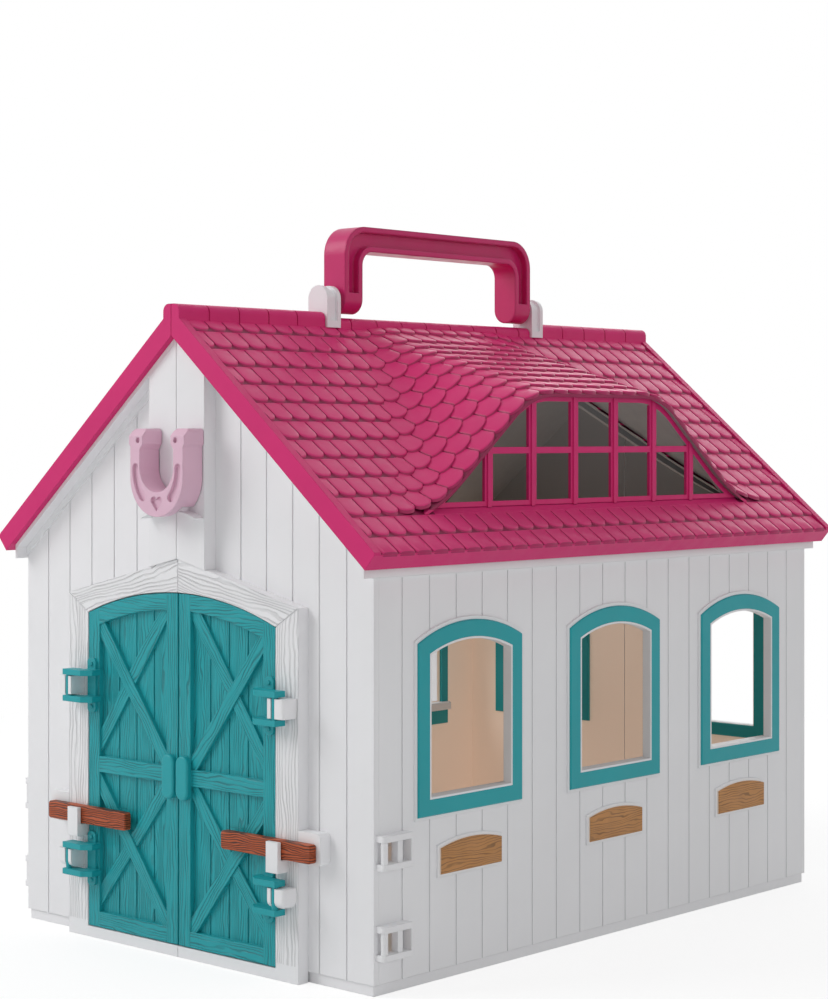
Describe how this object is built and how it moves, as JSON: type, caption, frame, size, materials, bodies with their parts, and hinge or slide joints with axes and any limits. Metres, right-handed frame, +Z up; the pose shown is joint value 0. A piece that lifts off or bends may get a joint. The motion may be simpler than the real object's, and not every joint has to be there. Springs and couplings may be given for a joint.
{
  "type": "toy horse stable",
  "caption": "Fold-open toy horse stable with carrying handle, double doors with drop bars, horseshoe latch, arched windows and dormers.",
  "frame": {"origin": "middle of the bounding box's underside, on the floor under the stable", "axes": "+Z up, +Y from the doors towards the rear hinge along the ridge, +X towards the right-hand half"},
  "size_m": [0.2166, 0.3138, 0.2905],
  "materials": {
    "white_plastic": "satin moulded",
    "magenta_plastic": "satin moulded",
    "teal_plastic": "wood-grain moulded",
    "lilac_plastic": "smooth moulded",
    "red_brown_plastic": "wood-grain moulded",
    "oak_look_plastic": "wood-grain print",
    "zinc_steel": "zinc plated"
  },
  "bodies": {
    "half_left": {"base_tray_left": "white_plastic", "side_wall_left": "white_plastic", "front_gable_left": "white_plastic", "rear_gable_left": "white_plastic", "door_frame_left": "white_plastic", "roof_liner_left": "white_plastic", "side_connectors_left": "white_plastic", "roof_shell_left": "magenta_plastic", "dormer_left": "magenta_plastic", "dormer_panes_left": "magenta_plastic", "rear_window_frame_left": "teal_plastic", "rear_window_trim_left": "teal_plastic", "base_screws_left": "zinc_steel", "window_frame_1_left": "teal_plastic", "window_trim_1_left": "teal_plastic", "window_ledge_1_left": "white_plastic", "name_plate_1_left": "oak_look_plastic", "window_frame_2_left": "teal_plastic", "window_trim_2_left": "teal_plastic", "window_ledge_2_left": "white_plastic", "name_plate_2_left": "oak_look_plastic", "window_frame_3_left": "teal_plastic", "window_trim_3_left": "teal_plastic", "window_ledge_3_left": "white_plastic", "name_plate_3_left": "oak_look_plastic", "handle_bracket_front": "white_plastic", "handle_bracket_rear": "white_plastic", "handle_pins": "zinc_steel", "rear_hinge_pin": "zinc_steel"},
    "half_right": {"base_tray_right": "white_plastic", "side_wall_right": "white_plastic", "front_gable_right": "white_plastic", "rear_gable_right": "white_plastic", "door_frame_right": "white_plastic", "roof_liner_right": "white_plastic", "side_connectors_right": "white_plastic", "roof_shell_right": "magenta_plastic", "dormer_right": "magenta_plastic", "dormer_panes_right": "magenta_plastic", "rear_window_frame_right": "teal_plastic", "rear_window_trim_right": "teal_plastic", "base_screws_right": "zinc_steel", "window_frame_1_right": "teal_plastic", "window_trim_1_right": "teal_plastic", "window_ledge_1_right": "white_plastic", "name_plate_1_right": "oak_look_plastic", "window_frame_2_right": "teal_plastic", "window_trim_2_right": "teal_plastic", "window_ledge_2_right": "white_plastic", "name_plate_2_right": "oak_look_plastic", "window_frame_3_right": "teal_plastic", "window_trim_3_right": "teal_plastic", "window_ledge_3_right": "white_plastic", "name_plate_3_right": "oak_look_plastic"},
    "door_left": {"door_left": "teal_plastic"},
    "door_right": {"door_right": "teal_plastic"},
    "bar_left": {"drop_bar_left": "red_brown_plastic", "bar_screw_left": "zinc_steel"},
    "bar_right": {"drop_bar_right": "red_brown_plastic", "bar_screw_right": "zinc_steel"},
    "horseshoe": {"horseshoe_latch": "lilac_plastic", "latch_slide_plate": "white_plastic", "latch_screw": "zinc_steel"},
    "handle": {"handle": "magenta_plastic"}
  },
  "joints": [
    {"name": "halves_hinge", "type": "hinge", "parent": "half_left", "child": "half_right", "pos_m": [0, 0.1538, 0.08], "axis": [0, 0, 1], "range_deg": [0, 180]},
    {"name": "door_right_hinge", "type": "hinge", "parent": "half_right", "child": "door_right", "pos_m": [0.0598, -0.1512, 0.07], "axis": [0, 0, 1], "range_deg": [0, 105]},
    {"name": "door_left_hinge", "type": "hinge", "parent": "half_left", "child": "door_left", "pos_m": [-0.0598, -0.1512, 0.07], "axis": [0, 0, -1], "range_deg": [0, 105]},
    {"name": "bar_right_pivot", "type": "hinge", "parent": "half_right", "child": "bar_right", "pos_m": [0.07, -0.1475, 0.0496], "axis": [0, 1, 0], "range_deg": [0, 90]},
    {"name": "bar_left_pivot", "type": "hinge", "parent": "half_left", "child": "bar_left", "pos_m": [-0.07, -0.1475, 0.0496], "axis": [0, -1, 0], "range_deg": [0, 90]},
    {"name": "latch_slide", "type": "slide", "parent": "half_left", "child": "horseshoe", "axis": [0, 0, 1], "range_m": [0, 0.014]},
    {"name": "handle_pivot", "type": "hinge", "parent": "half_left", "child": "handle", "pos_m": [0, 0.002, 0.26], "axis": [0, 1, 0], "range_deg": [-100, 100]}
  ]
}
